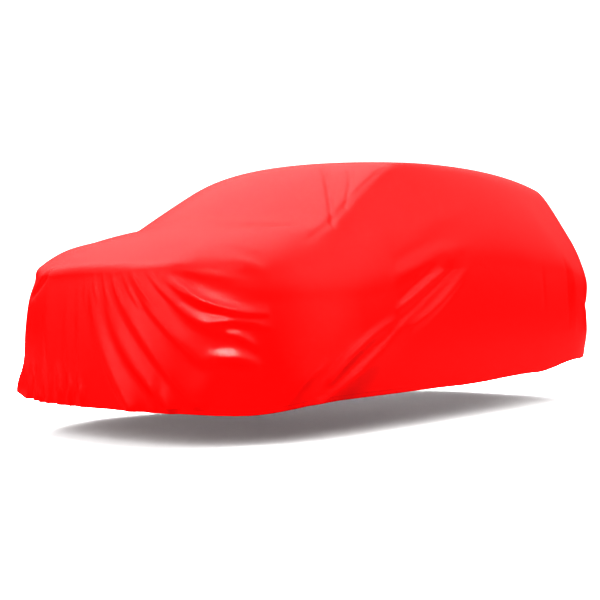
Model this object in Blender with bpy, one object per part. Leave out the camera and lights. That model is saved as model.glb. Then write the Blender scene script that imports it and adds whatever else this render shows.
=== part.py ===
"""Fitted cloth cover for a compact sport utility vehicle: one stretched sheet with its hem, hollow underneath.

The cover keeps the shape of the body that it was pulled over. Its top is a height above every
plan point (bonnet, screen, roof, tailgate and the sloping cabin sides). Its wall drops from the
shoulder outline to the hem. Folds are soft ridges and troughs laid on that form, a row for each.

Metres. +X runs to the tail, +Y to the far side, +Z up. The origin is under the middle of the roof.
"""

import bmesh
import bpy
import numpy as np

# ---------------------------------------------------------------- driving dimensions

CLOTH = 0.003            # thickness of the sheet as built
SEAT_Z = 1.641           # height of the origin, the underside of the roof, above the ground
TRIANGLE_SHARE = 0.0420  # share of the fine sheet's triangles that the finished sheet keeps

# Plan outlines. A nose or tail is a rounded end, and its power says how square its corners are.
SHOULDER = {"nose": -2.23, "tail": 2.16, "half_width": 0.985, "nose_power": 2.4, "tail_power": 3.8}
HEM = {"nose": -2.25, "tail": 2.21, "half_width": 0.970, "nose_power": 2.6, "tail_power": 3.8}
NOSE_END_X = -1.05       # the nose curve meets the straight side here
TAIL_START_X = 1.10      # the straight side meets the tail curve here
WALL_BULGE = 0.020       # how far the wall stands out of the straight line from shoulder to hem

# Heights above the ground along the middle.
LIP_X, LIP_Z = -2.20, 0.871            # leading edge of the bonnet
BONNET_RISE, BONNET_ROUND = 0.600, 0.303
SCREEN_FOOT_X, SCREEN_RISE, SCREEN_ROUND, SCREEN_SWEEP = -1.552, 0.643, 0.062, 0.163
ROOF_X, ROOF_Z, ROOF_ROUND = 0.990, 1.685, 0.042
TAILGATE_X, TAILGATE_Z, TAILGATE_FALL = 1.868, 1.386, 1.517
COWL_SOFT, HEADER_SOFT, SPOILER_SOFT = 0.041, 0.085, 0.114

# Across the body.
CROWN_SPAN = 0.70        # distance from the middle at which the crowns below are measured
BONNET_CROWN, ROOF_CROWN = 0.082, 0.046
ROOF_CROWN_X = -0.852    # from here rearwards the crown is the roof's
CABIN_TAPER = 0.048      # how much the cabin narrows towards its ends
CABIN_X = 0.30           # station where the cabin is widest
BELT_ROWS = (            # columns: station, height of the belt line
    (-2.10, 0.839),
    (0.00, 1.154),
    (1.80, 1.122),
)

# The cabin side. Columns: station, fall of the side for each metre outwards.
SLOPE_ROWS = (
    (-2.20, 0.80),
    (-1.75, 0.85),
    (-1.475, 1.10),
    (-1.20, 1.70),
    (-1.00, 2.03),
)

# The rail between top and side. Columns: station, softness of the corner.
RAIL_ROWS = (
    (-1.80, 0.110),
    (-1.40, 0.060),
    (-0.60, 0.050),
    (0.30, 0.106),
)

# The bend from the top into the wall. Columns: girth from the nose, reach of the bend.
BEND_ROWS = (
    (0.00, 0.034),
    (0.52, 0.040),
    (0.78, 0.150),
    (1.00, 0.160),
    (1.60, 0.130),
    (2.80, 0.200),
    (3.70, 0.190),
    (4.25, 0.080),
    (6.00, 0.080),
)

# Hem heights above the ground. Columns: girth from the nose, near side, far side.
HEM_ROWS = (
    (0.00, 0.189, 0.189),
    (0.25, 0.187, 0.191),
    (0.40, 0.184, 0.204),
    (0.58, 0.176, 0.236),
    (0.95, 0.161, 0.235),
    (1.50, 0.210, 0.205),
    (2.60, 0.222, 0.228),
    (3.70, 0.258, 0.262),
    (4.40, 0.330, 0.325),
    (5.10, 0.378, 0.372),
    (6.00, 0.385, 0.385),
)

# Folds of the wall and cabin side. Girth runs from the middle of the nose, positive on the near side.
# Columns: name, girth and height at its start, middle and end, spread to the left and right of a fold
# that is followed downwards, and how far it stands out at start, middle and end in millimetres (a
# trough is negative).
NOSE_FOLDS = (
    ("pleat 1", 0.135, 0.81, 0.240, 0.50, 0.41, 0.20, 0.029, 0.050, 1, 22, 28),
    ("pleat 2", 0.235, 0.79, 0.355, 0.50, 0.60, 0.21, 0.022, 0.060, 2, 19, 24),
    ("pleat 3", 0.275, 0.80, 0.48, 0.505, 0.70, 0.23, 0.022, 0.070, 2, 24, 16),
    ("pleat 4", 0.385, 0.80, 0.56, 0.585, 0.71, 0.44, 0.024, 0.060, 6, 23, 14),
    ("pleat 5", 0.53, 0.80, 0.655, 0.665, 0.80, 0.580, 0.022, 0.045, 5, 26, 14),
    ("shelf ridge", 0.57, 0.80, 0.78, 0.692, 1.02, 0.640, 0.018, 0.080, 12, 46, 12),
    ("shelf hollow", 0.60, 0.86, 0.76, 0.795, 0.95, 0.745, 0.024, 0.026, -2, -6, -2),
    ("knee", 0.74, 0.575, 0.87, 0.578, 1.04, 0.562, 0.018, 0.050, 6, 25, 7),
    ("knee fall", 0.86, 0.565, 0.915, 0.530, 0.955, 0.475, 0.018, 0.035, 5, 14, 4),
    ("corner swell", 0.79, 0.432, 0.88, 0.422, 0.98, 0.395, 0.026, 0.042, 8, 32, 6),
    ("corner line", 0.79, 0.380, 0.770, 0.310, 0.745, 0.240, 0.070, 0.045, 6, 14, 12),
    ("nose fold 1", 0.02, 0.80, 0.05, 0.52, 0.10, 0.24, 0.045, 0.080, 1, 7, 11),
    ("nose fold 2", -0.12, 0.80, -0.14, 0.52, -0.13, 0.26, 0.045, 0.075, 1, 5, 9),
    ("nose fold 3", -0.28, 0.76, -0.32, 0.55, -0.33, 0.26, 0.050, 0.075, 1, 6, 9),
    ("far edge trough", -0.26, 0.885, -0.31, 0.810, -0.46, 0.730, 0.022, 0.022, -6, -16, -9),
    ("far corner cut", -0.38, 0.87, -0.50, 0.845, -0.70, 0.82, 0.040, 0.080, -8, -16, -12),
    ("bonnet lip", -0.22, 0.87, 0.02, 0.865, 0.26, 0.87, 0.040, 0.050, 3, 8, 2),
    ("bonnet edge", 0.34, 0.90, 0.50, 0.90, 0.62, 0.91, 0.045, 0.045, -3, -14, -8),
    ("far edge fold", -0.42, 0.66, -0.47, 0.50, -0.52, 0.32, 0.055, 0.070, 2, 7, 4),
)
SIDE_FOLDS = (
    ("wheel ridge", 1.92, 0.605, 1.62, 0.482, 1.40, 0.31, 0.034, 0.014, 5, 21, 15),
    ("low ridge", 2.05, 0.625, 1.70, 0.410, 1.34, 0.20, 0.030, 0.016, 4, 20, 22),
    ("long ridge", 2.74, 0.94, 2.38, 0.712, 2.08, 0.575, 0.032, 0.015, 5, 18, 8),
    ("long trough", 2.58, 0.930, 2.22, 0.740, 1.92, 0.580, 0.024, 0.022, -4, -8, -3),
    ("band ridge", 2.64, 1.005, 2.24, 0.808, 1.96, 0.670, 0.030, 0.016, 6, 14, 5),
    ("band trough", 2.64, 1.060, 2.28, 0.875, 1.98, 0.715, 0.018, 0.022, -8, -14, -5),
    ("belt ridge 2", 2.74, 1.105, 2.36, 0.960, 1.94, 0.840, 0.046, 0.022, 8, 13, 4),
    ("belt trough", 2.82, 1.180, 2.42, 1.085, 1.96, 0.925, 0.020, 0.026, -12, -16, -7),
    ("belt ridge 1", 2.84, 1.240, 2.44, 1.160, 2.02, 1.000, 0.032, 0.022, 7, 10, 5),
    ("mirror swell", 1.74, 1.09, 1.85, 1.075, 1.98, 1.05, 0.070, 0.060, 5, 12, 4),
    ("door fold", 2.12, 0.90, 2.02, 0.86, 1.90, 0.78, 0.040, 0.040, 2, 6, 2),
    ("cabin fold 1", 2.19, 1.42, 2.22, 1.34, 2.31, 1.27, 0.030, 0.030, -2, -5, -2),
    ("cabin fold 2", 2.37, 1.40, 2.52, 1.36, 2.70, 1.325, 0.026, 0.026, -2, -5, -2),
    ("sill fold", 1.34, 0.38, 1.24, 0.31, 1.16, 0.22, 0.024, 0.024, 3, 6, 4),
    ("fender fold", 0.84, 0.935, 0.94, 0.915, 1.04, 0.880, 0.016, 0.016, -4, -11, -4),
    ("fender lip", 0.86, 0.893, 0.94, 0.872, 1.05, 0.835, 0.014, 0.020, 3, 10, 3),
    ("fender hollow", 0.84, 0.825, 0.91, 0.815, 1.00, 0.800, 0.026, 0.026, -3, -8, -2),
    ("quarter trough", 4.18, 1.06, 4.195, 0.84, 4.19, 0.58, 0.018, 0.015, -5, -16, -5),
    ("quarter fold", 4.26, 1.08, 4.28, 0.84, 4.30, 0.56, 0.022, 0.034, 4, 12, 4),
    ("quarter soft fold", 3.78, 0.96, 3.776, 0.84, 3.77, 0.70, 0.030, 0.026, -2, -5, -2),
    ("bumper notch", 4.44, 0.75, 4.80, 0.73, 5.20, 0.73, 0.034, 0.034, -3, -9, -5),
    ("bumper swell", 4.50, 0.52, 4.90, 0.55, 5.30, 0.55, 0.090, 0.090, 4, 9, 5),
    ("tail belt", 4.30, 0.91, 4.80, 0.91, 5.50, 0.91, 0.120, 0.110, 8, 30, 30),
)
TAIL_FOLDS = (
    ("tail fold 1", 5.35, 1.00, 5.32, 0.70, 5.38, 0.42, 0.040, 0.055, 2, 9, 10),
    ("tail fold 2", 5.72, 1.02, 5.78, 0.72, 5.74, 0.42, 0.045, 0.050, 2, 8, 11),
    ("tail fold 3", 6.12, 1.00, 6.10, 0.70, 6.16, 0.42, 0.050, 0.040, 2, 9, 9),
)
FAR_ECHO = 0.80          # the unseen far side repeats the near side's folds this strongly
FAR_SHIFT = 0.09         # and this much further along the girth

# Folds of the top, in plan. Columns: name, x and y at its start, middle and end, spread to either
# side, and how far it stands out at start, middle and end in millimetres.
TOP_FOLDS = (
    ("header fold 1", -0.80, -0.43, -0.99, -0.610, -1.21, -0.815, 0.016, 0.018, -4, -13, -8),
    ("header fold 2", -0.79, -0.61, -0.93, -0.715, -1.07, -0.790, 0.014, 0.016, -4, -10, -5),
    ("pillar crease", -0.56, -0.728, -1.00, -0.782, -1.50, -0.826, 0.014, 0.016, -3, -5, -1),
    ("far header fold", -0.70, 0.46, -0.94, 0.64, -1.12, 0.78, 0.030, 0.022, -4, -8, -4),
    ("screen hollow", -1.50, -0.30, -1.52, 0.00, -1.50, 0.30, 0.090, 0.090, -3, -6, -3),
    ("roof ripple 1", 0.10, -0.50, 0.18, 0.00, 0.12, 0.50, 0.060, 0.060, 2, -4, 2),
    ("roof ripple 2", 1.05, -0.48, 0.98, 0.00, 1.05, 0.48, 0.060, 0.060, 2, -4, 2),
)

# Puckers of the elastic hem: places along the girth where it is gathered.
# Columns: first and last girth, number of puckers, how far they stand out in millimetres.
PUCKER_ROWS = (
    (-0.62, 0.14, 9, 8),
    (0.20, 1.00, 6, 4),
    (4.60, 7.00, 24, 7),
)
PUCKER_HEIGHT = 0.13
PUCKER_DRIFT, PUCKER_SWINGS = 0.35, 2.3       # unevenness of their spacing, and how often it swings
TAIL_GIRTH = 4.0         # rows that start past this girth run on round the tail to the far side
FLARE_GIRTH, FLARE_WIDTH, FLARE_OUT, FLARE_HEIGHT = -0.54, 0.15, 0.046, 0.10

SPINE_FRONT_X, SPINE_REAR_X = -1.40, 1.50     # the top's lines start on this stretch of the middle
NOSE_STEPS, SIDE_STEPS, TAIL_STEPS = 124, 124, 76     # stations of half the girth
TOP_STEPS, BEND_STEPS, WALL_STEPS = 34, 8, 62         # rows from the spine to the hem
FOLD_STEPS = 14          # straight pieces that stand for a fold's curve
SAME_POINT = 0.0001      # points closer than this are one
TINY = 1e-9              # keeps a division by no length from failing
MM = 0.001               # folds and puckers are given in millimetres

RED = (0.78, 0.006, 0.006, 1.0)
SATIN_ROUGHNESS = 0.42


# ---------------------------------------------------------------- helpers

def lower_of(a, b, softness):
    """The lower of two heights, with the corner between them rounded over the softness."""
    share = np.clip(0.5 + 0.5 * (b - a) / softness, 0.0, 1.0)
    return b * (1.0 - share) + a * share - softness * share * (1.0 - share)


def upper_of(a, b, softness):
    return -lower_of(-a, -b, softness)


def along_rows(rows, column, at):
    """Value of a table's column at a place, by a smooth curve that never overshoots its rows."""
    table = np.array(rows)
    places, values = table[:, 0], table[:, column]
    cell = np.clip(np.searchsorted(places, at, side="right") - 1, 0, len(places) - 2)
    share = np.clip((at - places[cell]) / (places[cell + 1] - places[cell]), 0.0, 1.0)
    eased = share * share * (3.0 - 2.0 * share)
    return values[cell] + (values[cell + 1] - values[cell]) * eased


def quadratic(t, start, middle, end):
    """A smooth run from start to end that passes the middle value half way."""
    return start * (1 - t) * (1 - 2 * t) + middle * 4 * t * (1 - t) + end * t * (2 * t - 1)


# ---------------------------------------------------------------- form of the body

def half_stations():
    """Parameter of every station of the near half: 0 to 1 nose, 1 to 2 straight side, 2 to 3 tail."""
    nose = np.linspace(0.0, 1.0, NOSE_STEPS, endpoint=False)
    side = np.linspace(1.0, 2.0, SIDE_STEPS, endpoint=False)
    tail = np.linspace(2.0, 3.0, TAIL_STEPS + 1)
    return np.concatenate([nose, side, tail])


def half_outline(place, level):
    """Plan points of the near half of an outline: superellipse ends joined by a straight side."""
    in_nose = place < 1.0
    turn = np.where(in_nose, place, np.clip(3.0 - place, 0.0, 1.0)) * np.pi / 2
    power = np.where(in_nose, level["nose_power"], level["tail_power"])
    forward, sideways = np.cos(turn), np.sin(turn)
    reach = (forward ** power + sideways ** power) ** (-1.0 / power)
    nose_x = NOSE_END_X - (NOSE_END_X - level["nose"]) * reach * forward
    tail_x = TAIL_START_X + (level["tail"] - TAIL_START_X) * reach * forward
    side_x = NOSE_END_X + (TAIL_START_X - NOSE_END_X) * (place - 1.0)
    x = np.where(in_nose, nose_x, np.where(place < 2.0, side_x, tail_x))
    y = -level["half_width"] * np.where((place >= 1.0) & (place < 2.0), 1.0, reach * sideways)
    return x, y


def full_outline(level):
    """The near half from nose to tail, then the far half back to the nose."""
    x, y = half_outline(half_stations(), level)
    return np.concatenate([x, x[-2:0:-1]]), np.concatenate([y, -y[-2:0:-1]])


def bonnet_height(x):
    return LIP_Z + BONNET_RISE * (x - LIP_X) - BONNET_ROUND * (x - LIP_X) ** 2


def middle_height(x, y):
    """Height along the middle: bonnet, then the lower of screen, roof and tailgate."""
    sweep = SCREEN_SWEEP * (y / CROWN_SPAN) ** 2
    past_foot = np.maximum(x - SCREEN_FOOT_X, 0.0)
    screen = bonnet_height(SCREEN_FOOT_X) + SCREEN_RISE * (x - SCREEN_FOOT_X - sweep)
    screen = screen - SCREEN_ROUND * past_foot ** 2
    roof = ROOF_Z - ROOF_ROUND * (x - ROOF_X) ** 2
    tailgate = TAILGATE_Z - TAILGATE_FALL * (x - TAILGATE_X)
    cabin = lower_of(lower_of(screen, roof, HEADER_SOFT), tailgate, SPOILER_SOFT)
    return upper_of(bonnet_height(x), cabin, COWL_SOFT)


def belt_height(x):
    """A parabola through the three belt rows."""
    table = np.array(BELT_ROWS)
    return np.polyval(np.polyfit(table[:, 0], table[:, 1], 2), x)


def top_height(x, y):
    """Height of the cover's top above any plan point inside the shoulder outline."""
    to_roof = np.clip((x - LIP_X) / (ROOF_CROWN_X - LIP_X), 0.0, 1.0)
    crown = BONNET_CROWN + (ROOF_CROWN - BONNET_CROWN) * to_roof
    top = middle_height(x, y) - crown * (y / CROWN_SPAN) ** 2
    cabin_half = SHOULDER["half_width"] - CABIN_TAPER * (x - CABIN_X) ** 2
    side = belt_height(x) + (cabin_half - np.abs(y)) * along_rows(SLOPE_ROWS, 1, x)
    return lower_of(top, side, along_rows(RAIL_ROWS, 1, x))


def girth_of(x, y):
    """Length along the outline from the middle of the nose, negative on the far side."""
    steps = np.hypot(np.diff(x), np.diff(y))
    length = np.concatenate([[0.0], np.cumsum(steps)])
    whole = length[-1] + np.hypot(x[0] - x[-1], y[0] - y[-1])
    return np.where(length > whole / 2, length - whole, length)


def outward_of(x, y):
    """Unit plan normals of a closed outline that is walked with its inside on the left."""
    tx = np.roll(x, -1) - np.roll(x, 1)
    ty = np.roll(y, -1) - np.roll(y, 1)
    size = np.hypot(tx, ty)
    return np.stack([ty / size, -tx / size, np.zeros_like(x)], axis=-1)


def body_grid():
    """(rows, stations, 3) points from the spine over the shoulder to the hem, and each station's girth."""
    sx, sy = full_outline(SHOULDER)
    hx, hy = full_outline(HEM)
    girth = girth_of(sx, sy)
    from_nose = np.abs(girth)
    bend = along_rows(BEND_ROWS, 1, from_nose)[:, None]
    near = along_rows(HEM_ROWS, 1, from_nose)
    far = along_rows(HEM_ROWS, 2, from_nose)
    hem = np.stack([hx, hy, np.where(girth >= 0, near, far)], axis=-1)
    corner = np.stack([sx, sy, top_height(sx, sy)], axis=-1)

    share = (sx - SHOULDER["nose"]) / (SHOULDER["tail"] - SHOULDER["nose"])
    spine = np.stack([SPINE_FRONT_X + (SPINE_REAR_X - SPINE_FRONT_X) * share, 0.0 * sx], axis=-1)
    inward = spine - corner[:, :2]
    inward /= np.linalg.norm(inward, axis=-1, keepdims=True)
    inner = corner[:, :2] + inward * bend
    bend_top = np.concatenate([inner, top_height(inner[:, 0], inner[:, 1])[:, None]], axis=-1)
    down = hem - corner
    bend_foot = corner + down / np.linalg.norm(down, axis=-1, keepdims=True) * bend
    outward = outward_of(sx, sy)

    rows = []
    for t in np.linspace(0.0, 1.0, TOP_STEPS, endpoint=False):
        plan = spine * (1.0 - t) + inner * t
        rows.append(np.concatenate([plan, top_height(plan[:, 0], plan[:, 1])[:, None]], axis=-1))
    for t in np.linspace(0.0, 1.0, BEND_STEPS, endpoint=False):
        rows.append((1 - t) ** 2 * bend_top + 2 * t * (1 - t) * corner + t * t * bend_foot)
    for t in np.linspace(0.0, 1.0, WALL_STEPS + 1):
        rows.append(bend_foot * (1 - t) + hem * t + outward * WALL_BULGE * 4 * t * (1 - t))
    return np.array(rows), girth


def grid_normals(points):
    """Outward unit normals of the grid. The spine row takes those of the row below it."""
    along = np.roll(points, -1, axis=1) - np.roll(points, 1, axis=1)
    down = np.gradient(points, axis=0)
    normals = np.cross(down, along)
    normals[0] = normals[1]
    size = np.linalg.norm(normals, axis=-1, keepdims=True)
    normals = normals / np.maximum(size, TINY)
    middle = points.mean(axis=(0, 1))
    inwards = ((points - middle) * normals).sum(axis=-1) < 0
    normals[inwards] *= -1.0
    return normals


# ---------------------------------------------------------------- folds

def fold_relief(across, up, row):
    """How far one fold lifts each point: a rounded ridge round a curve through three places.

    Each side has its own spread, and past the curve's ends the two blend with the sine of the angle.
    """
    _, a0, u0, a1, u1, a2, u2, left, right, out0, out1, out2 = row
    t = np.linspace(0.0, 1.0, FOLD_STEPS + 1)
    path_a, path_u = quadratic(t, a0, a1, a2), quadratic(t, u0, u1, u2)
    nearest = np.full(across.shape, np.inf)
    side = np.zeros(across.shape)
    where = np.zeros(across.shape)
    for i in range(FOLD_STEPS):
        da, du = path_a[i + 1] - path_a[i], path_u[i + 1] - path_u[i]
        share = ((across - path_a[i]) * da + (up - path_u[i]) * du) / (da * da + du * du)
        share = np.clip(share, 0.0, 1.0)
        off_a, off_u = across - path_a[i] - share * da, up - path_u[i] - share * du
        gap = np.hypot(off_a, off_u)
        turned = (off_u * da - off_a * du) / (np.maximum(gap, TINY) * np.hypot(da, du))
        closer = gap < nearest
        nearest = np.where(closer, gap, nearest)
        side = np.where(closer, turned, side)
        where = np.where(closer, t[i] + share * (t[i + 1] - t[i]), where)
    spread = left + (right - left) * (0.5 + 0.5 * side)
    return quadratic(where, out0, out1, out2) * MM * np.exp(-(nearest / spread) ** 2)


def wall_relief(girth, height):
    """All folds of the nose, sides and tail."""
    relief = np.zeros(height.shape)
    tail_girth = np.where(girth < 0, girth + 2 * np.abs(girth).max(), girth)
    for row in NOSE_FOLDS:
        relief += fold_relief(girth, height, row)
    for row in SIDE_FOLDS:
        relief += fold_relief(girth, height, row)
        relief += FAR_ECHO * fold_relief(-girth - FAR_SHIFT, height, row)
    for row in TAIL_FOLDS:
        relief += fold_relief(tail_girth, height, row)
    return relief


def hem_relief(girth, height, hem_height):
    """Puckers of the elastic and the flare of the far front corner, strongest at the hem."""
    above = height - hem_height
    fade = np.exp(-(above / PUCKER_HEIGHT) ** 2)
    tail_girth = np.where(girth < 0, girth + 2 * np.abs(girth).max(), girth)
    relief = np.zeros(height.shape)
    for first, last, count, out in PUCKER_ROWS:
        place = tail_girth if first > TAIL_GIRTH else girth
        share = np.clip((place - first) / (last - first), 0.0, 1.0)
        uneven = share + PUCKER_DRIFT / count * np.sin(2 * np.pi * share * PUCKER_SWINGS)
        wave = np.sin(2 * np.pi * count * uneven) * np.sin(np.pi * share)
        relief += out * MM * wave * fade
    flare = np.exp(-((girth - FLARE_GIRTH) / FLARE_WIDTH) ** 2) * np.exp(-(above / FLARE_HEIGHT) ** 2)
    return relief + FLARE_OUT * flare


def folded_grid():
    """The body grid with every fold laid on it."""
    points, girth = body_grid()
    normals = grid_normals(points)
    across = np.broadcast_to(girth, points.shape[:2])
    height = points[..., 2]
    in_top = np.arange(len(points))[:, None] < TOP_STEPS
    relief = wall_relief(across, height) + hem_relief(across, height, height[-1])
    for row in TOP_FOLDS:
        relief += np.where(in_top, fold_relief(points[..., 0], points[..., 1], row), 0.0)
    relief[0] = relief[1]
    folded = points + normals * relief[..., None]
    folded[0] = points[0]
    return folded - np.array([0.0, 0.0, SEAT_Z])


# ---------------------------------------------------------------- the object

def clear_scene():
    for obj in list(bpy.data.objects):
        bpy.data.objects.remove(obj, do_unlink=True)


def grid_faces(rows, stations):
    """Quads of a grid that closes round the girth, wound to face outwards."""
    row, station = np.meshgrid(np.arange(rows - 1), np.arange(stations), indexing="ij")
    following = (station + 1) % stations
    quads = np.stack(
        [
            row * stations + station,
            (row + 1) * stations + station,
            (row + 1) * stations + following,
            row * stations + following,
        ],
        axis=-1,
    )
    return quads.reshape(-1, 4)


def red_satin():
    material = bpy.data.materials.new("red_satin")
    material.use_nodes = True
    shader = material.node_tree.nodes["Principled BSDF"]
    shader.inputs["Base Color"].default_value = RED
    shader.inputs["Roughness"].default_value = SATIN_ROUGHNESS
    shader.inputs["Metallic"].default_value = 0.0
    return material


def make_cover():
    """The whole cover: a fine sheet, thinned where it is smooth, then given the cloth's thickness."""
    points = folded_grid()
    rows, stations = points.shape[:2]
    mesh = bpy.data.meshes.new("cover_cloth")
    mesh.from_pydata(points.reshape(-1, 3).tolist(), [], grid_faces(rows, stations).tolist())
    sheet = bmesh.new()
    sheet.from_mesh(mesh)
    bmesh.ops.remove_doubles(sheet, verts=sheet.verts, dist=SAME_POINT)
    bmesh.ops.recalc_face_normals(sheet, faces=sheet.faces)
    bmesh.ops.triangulate(sheet, faces=sheet.faces)
    sheet.to_mesh(mesh)
    sheet.free()
    mesh.shade_smooth()
    cover = bpy.data.objects.new("cover_cloth", mesh)
    bpy.context.scene.collection.objects.link(cover)
    mesh.materials.append(red_satin())
    thin = cover.modifiers.new("thin_out", "DECIMATE")
    thin.ratio = TRIANGLE_SHARE
    wall = cover.modifiers.new("cloth_thickness", "SOLIDIFY")
    wall.thickness = CLOTH
    wall.offset = -1.0
    return cover


clear_scene()
make_cover()
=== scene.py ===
# %% [markdown]
# # A fitted cloth cover for a car, pulled tight and held by its elastic hem
#
# The real thing is one big piece of stretch satin with elastic in its hem. Nothing stiffens it: every
# line that we see is either the body underneath or a fold in the cloth. So the lesson has two halves.
# First we work out the body's form as a surface, and then we lay the folds on it, one row of a table
# for each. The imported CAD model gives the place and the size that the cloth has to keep.

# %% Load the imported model, which fixes the frame
import math

import bmesh
import bpy
import numpy as np
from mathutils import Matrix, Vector


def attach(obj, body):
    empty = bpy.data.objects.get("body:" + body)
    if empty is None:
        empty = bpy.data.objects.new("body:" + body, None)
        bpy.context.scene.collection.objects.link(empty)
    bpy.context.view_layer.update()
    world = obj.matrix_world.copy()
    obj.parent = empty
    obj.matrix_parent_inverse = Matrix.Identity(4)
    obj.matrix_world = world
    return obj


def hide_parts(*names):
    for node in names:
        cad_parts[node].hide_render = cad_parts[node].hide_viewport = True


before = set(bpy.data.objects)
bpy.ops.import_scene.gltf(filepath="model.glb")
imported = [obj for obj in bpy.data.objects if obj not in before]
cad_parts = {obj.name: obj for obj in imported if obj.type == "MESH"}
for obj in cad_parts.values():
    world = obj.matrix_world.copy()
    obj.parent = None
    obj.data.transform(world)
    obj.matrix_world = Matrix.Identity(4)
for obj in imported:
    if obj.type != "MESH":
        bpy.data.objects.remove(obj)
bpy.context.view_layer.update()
MM = 0.001                             # one millimetre in the metres that all shapes are in

# %% [markdown]
# ## The camera
#
# It stands low, a little over half a metre above the ground, off the near front corner. We could
# place it by eye, but a cover this simple is all outline, so a camera that is a few degrees off
# shows at once. Its place was solved from points a known length apart, and it is written here in metres.

# %% Make the camera
FLOOR_Z = -1.641                       # the ground, below the underside of the roof
CAMERA_PLACE = (-4.914, -3.679, -1.063)
CAMERA_HEADING = math.radians(39.78)   # from +X towards +Y
CAMERA_PITCH = math.radians(1.62)      # above the horizon
CAMERA_LENS, CAMERA_SENSOR = 53.93, 36.0   # millimetres
CAMERA_SEES_TO = 200.0                 # metres

camera_data = bpy.data.cameras.new("camera")
camera_data.lens = CAMERA_LENS
camera_data.sensor_width = CAMERA_SENSOR
camera_data.clip_end = CAMERA_SEES_TO
camera = bpy.data.objects.new("camera", camera_data)
camera.location = CAMERA_PLACE
camera.rotation_euler = (math.pi / 2 + CAMERA_PITCH, 0.0, CAMERA_HEADING - math.pi / 2)
bpy.context.scene.collection.objects.link(camera)
bpy.context.scene.camera = camera
print("camera", round(-FLOOR_Z + CAMERA_PLACE[2], 3), "m above the ground")

# %% [markdown]
# ## The body's form
#
# Seen from above, the cover's widest line (the shoulder) and its hem are both rounded oblongs. A
# superellipse suits their ends: its power says how square the corners are. We join two of them with
# a straight side. A spline through many measured points could do it too, but then one change of
# length would mean moving every point.

# %% Plan outlines of shoulder and hem
SHOULDER = {"nose": -2.23, "tail": 2.16, "half_width": 0.985, "nose_power": 2.4, "tail_power": 3.8}
HEM = {"nose": -2.25, "tail": 2.21, "half_width": 0.970, "nose_power": 2.6, "tail_power": 3.8}
NOSE_END_X, TAIL_START_X = -1.05, 1.10
NEAR_STEPS = (200, 176, 76)            # stations of the nose, side and tail of the near half
FAR_STEPS = (104, 72, 60)              # the far half needs fewer


def stations(steps):
    """Places along one half: 0 to 1 is the nose, 1 to 2 the straight side and 2 to 3 the tail."""
    nose, side, tail = steps
    return np.concatenate([
        np.linspace(0.0, 1.0, nose, endpoint=False),
        np.linspace(1.0, 2.0, side, endpoint=False),
        np.linspace(2.0, 3.0, tail + 1),
    ])


def half_outline(place, level):
    """Plan points. At an end the reach in a direction is (cos^p + sin^p)^(-1/p), a superellipse."""
    in_nose = place < 1.0
    turn = np.where(in_nose, place, np.clip(3.0 - place, 0.0, 1.0)) * np.pi / 2
    power = np.where(in_nose, level["nose_power"], level["tail_power"])
    forward, sideways = np.cos(turn), np.sin(turn)
    reach = (forward ** power + sideways ** power) ** (-1.0 / power)
    nose_x = NOSE_END_X - (NOSE_END_X - level["nose"]) * reach * forward
    tail_x = TAIL_START_X + (level["tail"] - TAIL_START_X) * reach * forward
    side_x = NOSE_END_X + (TAIL_START_X - NOSE_END_X) * (place - 1.0)
    x = np.where(in_nose, nose_x, np.where(place < 2.0, side_x, tail_x))
    y = -level["half_width"] * np.where((place >= 1.0) & (place < 2.0), 1.0, reach * sideways)
    return x, y


def full_outline(level):
    """The near half from nose to tail, then the far half back to the nose."""
    near_x, near_y = half_outline(stations(NEAR_STEPS), level)
    far_x, far_y = half_outline(stations(FAR_STEPS), level)
    return np.concatenate([near_x, far_x[-2:0:-1]]), np.concatenate([near_y, -far_y[-2:0:-1]])


shoulder_x, shoulder_y = full_outline(SHOULDER)
print(len(shoulder_x), "stations round the cover")

# %% [markdown]
# ## The top as a height above every plan point
#
# Bonnet, screen, roof, tailgate and the sloping cabin sides are five simple curved planes. Taking
# the lower of two of them gives a ridge, taking the upper gives a valley, and a polynomial that
# rounds the change over a few centimetres makes cloth of it. Each rounding has its own size,
# because cloth lies tight on the rail of the roof and slack at the foot of the screen.

# %% Sizes of the top
LIP_X, LIP_Z = -2.20, 0.871            # leading edge of the bonnet
BONNET_RISE, BONNET_ROUND = 0.600, 0.303   # slope at that edge, and how fast it eases off
SCREEN_FOOT_X, SCREEN_RISE = -1.552, 0.643
SCREEN_ROUND, SCREEN_SWEEP = 0.062, 0.163  # rounding upwards, and how far the sides lie back
ROOF_X, ROOF_Z, ROOF_ROUND = 0.990, 1.685, 0.042           # the roof's highest place, its rounding
TAILGATE_X, TAILGATE_Z, TAILGATE_FALL = 1.868, 1.386, 1.517    # a place on the tailgate, its slope
COWL_SOFT, HEADER_SOFT, SPOILER_SOFT = 0.041, 0.085, 0.114     # roundings between these four
CROWN_SPAN, BONNET_CROWN, ROOF_CROWN = 0.70, 0.082, 0.046  # fall at that distance from the middle
ROOF_CROWN_X = -0.852                  # station from which the roof's crown holds
CABIN_TAPER, CABIN_X = 0.048, 0.30     # narrowing of the cabin away from its widest station
BELT_ROWS = (                          # columns: station, height of the belt line
    (-2.10, 0.839),
    (0.00, 1.154),
    (1.80, 1.122),
)
SLOPE_ROWS = (                         # columns: station, fall of the side for each metre outwards
    (-2.20, 0.80),
    (-1.75, 0.85),
    (-1.475, 1.10),
    (-1.20, 1.70),
    (-1.00, 2.03),
)
RAIL_ROWS = (                          # columns: station, width of the rounding at the rail
    (-1.80, 0.110),
    (-1.40, 0.060),
    (-0.60, 0.050),
    (0.30, 0.106),
)
print(len(BELT_ROWS), "belt rows,", len(SLOPE_ROWS), "slope rows and", len(RAIL_ROWS), "rail rows")

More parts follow.
